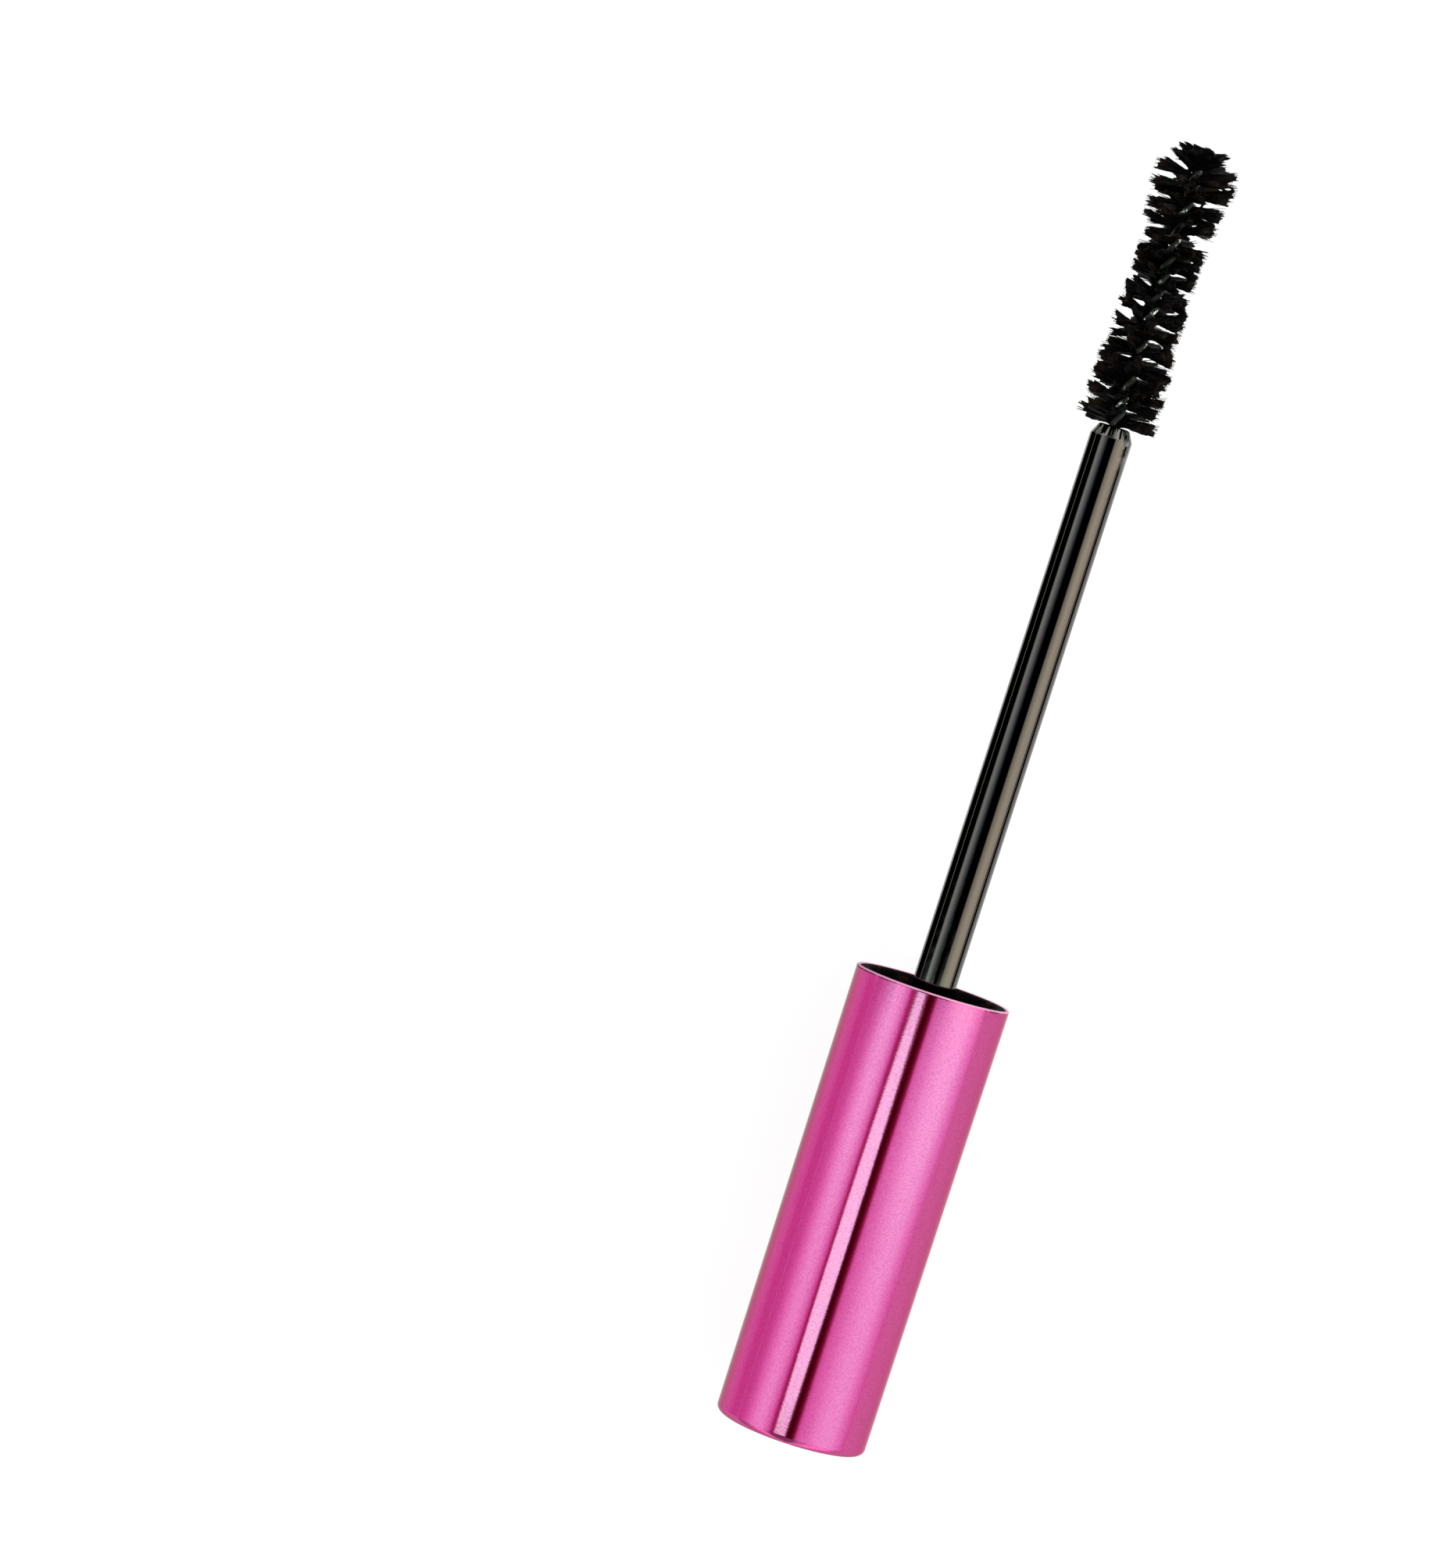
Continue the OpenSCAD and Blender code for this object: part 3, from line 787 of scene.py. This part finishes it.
class World:
    """Studio surroundings as bands of light round the tube's axis, seen in reflections.

    Colours are kept as shares of the brightest, which the background's strength multiplies.
    """

    brightest = 7.0

    def __init__(self):
        world = bpy.data.worlds.new("studio")
        bpy.context.scene.world = world
        world.use_nodes = True
        self.tree = world.node_tree
        direction = self.tree.nodes.new("ShaderNodeTexCoord").outputs["Generated"]
        split = self.tree.nodes.new("ShaderNodeSeparateXYZ")
        self.link(direction, split.inputs[0])
        self.along = split.outputs["X"]
        to_right = self.maths("MULTIPLY", split.outputs["Y"], -1.0)
        angle = self.maths("ARCTAN2", to_right, split.outputs["Z"])
        self.degrees = self.maths("MULTIPLY", angle, 360 / TAU)

    def link(self, a, b):
        self.tree.links.new(a, b)

    def maths(self, kind, *values):
        node = self.tree.nodes.new("ShaderNodeMath")
        node.operation = kind
        for socket, value in zip(node.inputs, values):
            if isinstance(value, bpy.types.NodeSocket):
                self.link(value, socket)
            else:
                socket.default_value = value
        return node.outputs[0]

    def step(self, value, low, high):
        """Smooth step from 0 at low to 1 at high."""
        node = self.tree.nodes.new("ShaderNodeMapRange")
        node.interpolation_type = "SMOOTHSTEP"
        self.link(value, node.inputs["Value"])
        for key, number in (("From Min", low), ("From Max", high)):
            if isinstance(number, bpy.types.NodeSocket):
                self.link(number, node.inputs[key])
            else:
                node.inputs[key].default_value = number
        return node.outputs["Result"]

    def mix(self, amount, a, b):
        """Goes from a to b, each a socket or a constant colour."""
        node = self.tree.nodes.new("ShaderNodeMix")
        node.data_type = "RGBA"
        self.link(amount, node.inputs["Factor"])
        for socket, value in ((node.inputs["A"], a), (node.inputs["B"], b)):
            if isinstance(value, bpy.types.NodeSocket):
                self.link(value, socket)
            else:
                socket.default_value = (*[c / self.brightest for c in value], 1)
        return node.outputs["Result"]

    def bands(self, stops):
        """Light by angle round the axis: degrees from overhead, positive to the right."""
        node = self.tree.nodes.new("ShaderNodeValToRGB")
        ramp = node.color_ramp
        while len(ramp.elements) < len(stops):
            ramp.elements.new(0.5)
        for element, (degrees, level) in zip(ramp.elements, stops):
            element.position = (degrees + 180) / 360
            rgb = level if isinstance(level, tuple) else (level,) * 3
            element.color = (*[c / self.brightest for c in rgb], 1)
        turn = self.maths("ADD", self.maths("DIVIDE", self.degrees, 360.0), 0.5)
        self.link(turn, node.inputs["Fac"])
        return node.outputs["Color"]

    def tinted(self, colour, amount, factor):
        """Colour that turns into itself times a constant factor as amount goes to 1."""
        node = self.tree.nodes.new("ShaderNodeMix")
        node.data_type = "RGBA"
        node.blend_type = "MULTIPLY"
        self.link(amount, node.inputs["Factor"])
        self.link(colour, node.inputs["A"])
        node.inputs["B"].default_value = (*factor, 1)
        return node.outputs["Result"]

    def grey(self, colour):
        node = self.tree.nodes.new("ShaderNodeRGBToBW")
        self.link(colour, node.inputs["Color"])
        return node.outputs["Val"]

    def show(self, colour):
        """Lights the scene with a colour, behind an even pale backdrop for the camera."""
        lamps = self.tree.nodes["Background"]
        self.link(colour, lamps.inputs["Color"])
        lamps.inputs["Strength"].default_value = self.brightest
        plain = self.tree.nodes.new("ShaderNodeBackground")
        plain.inputs["Color"].default_value = (1, 1, 1, 1)
        choose = self.tree.nodes.new("ShaderNodeMixShader")
        rays = self.tree.nodes.new("ShaderNodeLightPath")
        self.link(rays.outputs["Is Camera Ray"], choose.inputs["Fac"])
        self.link(lamps.outputs[0], choose.inputs[1])
        self.link(plain.outputs[0], choose.inputs[2])
        self.link(choose.outputs[0], self.tree.nodes["World Output"].inputs["Surface"])


def make_world():
    """Bands for the cap and for the stem. A direction's X tells which one the camera sees it in."""
    world = World()
    over_cap = world.bands([(degrees, lamp_colour(level)) for degrees, level in (
        (-180, 0.8), (-112, 0.6), (-99, 0.42), (-88, 0.45), (-79, 0.62), (-70, 1.2), (-62, 1.9),
        (-53, 2.5), (-45, 2.3), (-37, 1.4), (-33, 0.75), (-29.5, 0.10), (-26, 0.02), (-8, 0.01),
        (-4, 0.00003), (1, 0.00005), (6, 0.013), (9.5, 0.75), (14, 1.1), (24, 1.5), (33, 2.1),
        (42, 2.55), (52, 2.85), (65, 2.6), (73, 1.9), (82, 1.25), (91, 0.7), (101, 0.6), (113, 0.9),
        (180, 1.0))])

    # everything but the lamp gets brighter towards the mouth
    to_mouth = world.step(world.along, -0.155, -0.105)
    over_cap = world.tinted(over_cap, to_mouth, (1.08, 1.4, 1.2))

    # the tube lamp overhead, whose light narrows a little towards both of its ends
    past_middle = world.maths("POWER", world.maths("ADD", world.along, 0.145), 2.0)
    left = world.maths("MULTIPLY_ADD", past_middle, 2000.0, -25.3)
    right = world.maths("MULTIPLY_ADD", past_middle, -1600.0, -7.0)
    lamp = world.maths("MULTIPLY",
                       world.step(world.degrees, world.maths("SUBTRACT", left, 2.0), left),
                       world.step(world.degrees, world.maths("ADD", right, 2.0), right))
    lamp = world.maths("MULTIPLY", lamp, world.step(world.along, -0.190, -0.184))
    over_cap = world.mix(lamp, over_cap, lamp_colour(5.4))

    over_stem = world.bands([
        (-180, 1.0), (-122, 1.2), (-116, 0.0), (-58, 0.0), (-52, 1.5), (-44, (1.35, 1.4, 1.4)),
        (-30, (0.64, 0.7, 0.78)), (-19, (0.13, 0.15, 0.2)), (-12, 0.0), (22, 0.0),
        (27, (1.3, 1.2, 0.95)), (44, (2.3, 2.05, 1.7)), (58, (2.85, 2.5, 2.1)),
        (74, (2.4, 2.1, 1.8)), (84, (2.2, 1.95, 1.75)), (88, 0.0), (92, 0.0), (113, 1.2), (180, 1.0)])
    whole = world.mix(world.step(world.along, -0.088, -0.080), over_cap, over_stem)

    # directions past both have grey bands, dimmer square to the tube and never quite black
    to_ends = world.step(world.maths("ABSOLUTE", world.along), 0.18, 0.40)
    elsewhere = world.maths("MULTIPLY", world.grey(over_cap),
                            world.maths("MULTIPLY_ADD", to_ends, 0.5, 0.3))
    elsewhere = world.maths("MAXIMUM", elsewhere, 0.05)
    outside = world.maths("MAXIMUM", world.step(world.along, -0.24, -0.32),
                          world.step(world.along, 0.11, 0.16))
    world.show(world.mix(outside, whole, elsewhere))


def flat_sheet(name, corners, height):
    """Flat piece of the stage from its corners in metres."""
    mesh = bpy.data.meshes.new(name)
    mesh.from_pydata([(x, y, height) for x, y in corners], [], [tuple(range(len(corners)))])
    sheet = bpy.data.objects.new(name, mesh)
    bpy.context.scene.collection.objects.link(sheet)
    return sheet


def make_floor():
    """Pale table with light of its own, as a light table has."""
    half = 4.0
    floor = flat_sheet("floor", [(-half, -half), (half, -half), (half, half), (-half, half)], 0)
    m = Nodes("floor")
    m.put(Roughness=0.6, Specular_IOR_Level=0.0)
    m.put(Emission_Color=(1, 1, 1, 1), Emission_Strength=0.88)
    m.set("Base Color", m.colours(m.noise(40, 2), [(0.3, (0.17,) * 3), (0.7, (0.19,) * 3)]))
    floor.data.materials.append(m.material)


def lay_card(name, nodes, side, near, far, ends):
    """Card on the table that only reflections see, from near to far at one side of the axis.

    The side is 1 at the left and -1 at the right. The ends are the x at which each end of the
    card meets the axis and its slope away from it.
    """
    start, start_slope, end, end_slope = ends
    corners = [(start + start_slope * near, side * near), (end + end_slope * near, side * near),
               (end + end_slope * far, side * far), (start + start_slope * far, side * far)]
    card = flat_sheet(name, corners[::side], 0.2 * MM)
    card.data.materials.append(nodes.material)
    card.visible_camera = False
    card.visible_diffuse = False
    card.visible_shadow = False


def make_cards():
    """Two black cards darken the stem's flanks, and a dim one deepens the cap's left flank."""
    black = Nodes("black_card")
    black.put(Specular_IOR_Level=0.0, Roughness=1.0)
    grain = black.noise(90, 2)
    black.set("Base Color", black.colours(grain, [(0.3, (0.0,) * 3), (0.7, (0.001,) * 3)]))
    dim = Nodes("dim_card")
    dim.put(Specular_IOR_Level=0.0, Emission_Strength=1.0)
    dim.set("Base Color", dim.colours(dim.noise(90, 2), [(0.3, (0.0,) * 3), (0.7, (0.001,) * 3)]))
    outwards = dim.spread(dim.axis("Y"), 20 * MM, 50 * MM)
    dim.set("Emission Color",
            dim.colours(outwards, [(0.0, lamp_colour(0.95)), (1.0, lamp_colour(0.45))]))
    stem_ends = (MOUTH_X, -0.080, STEM_END_X + 8 * MM, 0.035)
    cap_ends = (cap_lo.x, -0.20, MOUTH_X, -0.088)
    lay_card("flag_left", black, 1, 10 * MM, 150 * MM, stem_ends)
    lay_card("flag_right", black, -1, 28 * MM, 120 * MM, stem_ends)
    lay_card("dimmer_left", dim, 1, 20 * MM, 700 * MM, cap_ends)


def make_camera():
    """Camera at the photograph's angle: almost overhead, turned so that the wand leans right."""
    tilt = math.radians(3.37)
    lean = math.radians(17.76)
    along = Vector((math.cos(tilt), 0, -math.sin(tilt)))
    across = Vector((0, 1, 0))
    back = Vector((math.sin(tilt), 0, math.cos(tilt)))
    right = math.sin(lean) * along - math.cos(lean) * across
    up = math.cos(lean) * along + math.sin(lean) * across
    mouth = Vector((MOUTH_X, 0, AXIS_Z))
    place = mouth + (524.4 * back + 12.87 * along + 26.34 * across) * MM
    data = bpy.data.cameras.new("camera")
    data.lens = 120.3
    data.sensor_width = 36
    data.clip_start = 0.01
    data.clip_end = 50
    camera = bpy.data.objects.new("camera", data)
    camera.matrix_world = Matrix.Translation(place) @ Matrix((right, up, back)).transposed().to_4x4()
    bpy.context.scene.collection.objects.link(camera)
    bpy.context.scene.camera = camera


make_world()
make_floor()
make_cards()
make_camera()
bpy.context.scene.view_settings.view_transform = "Standard"
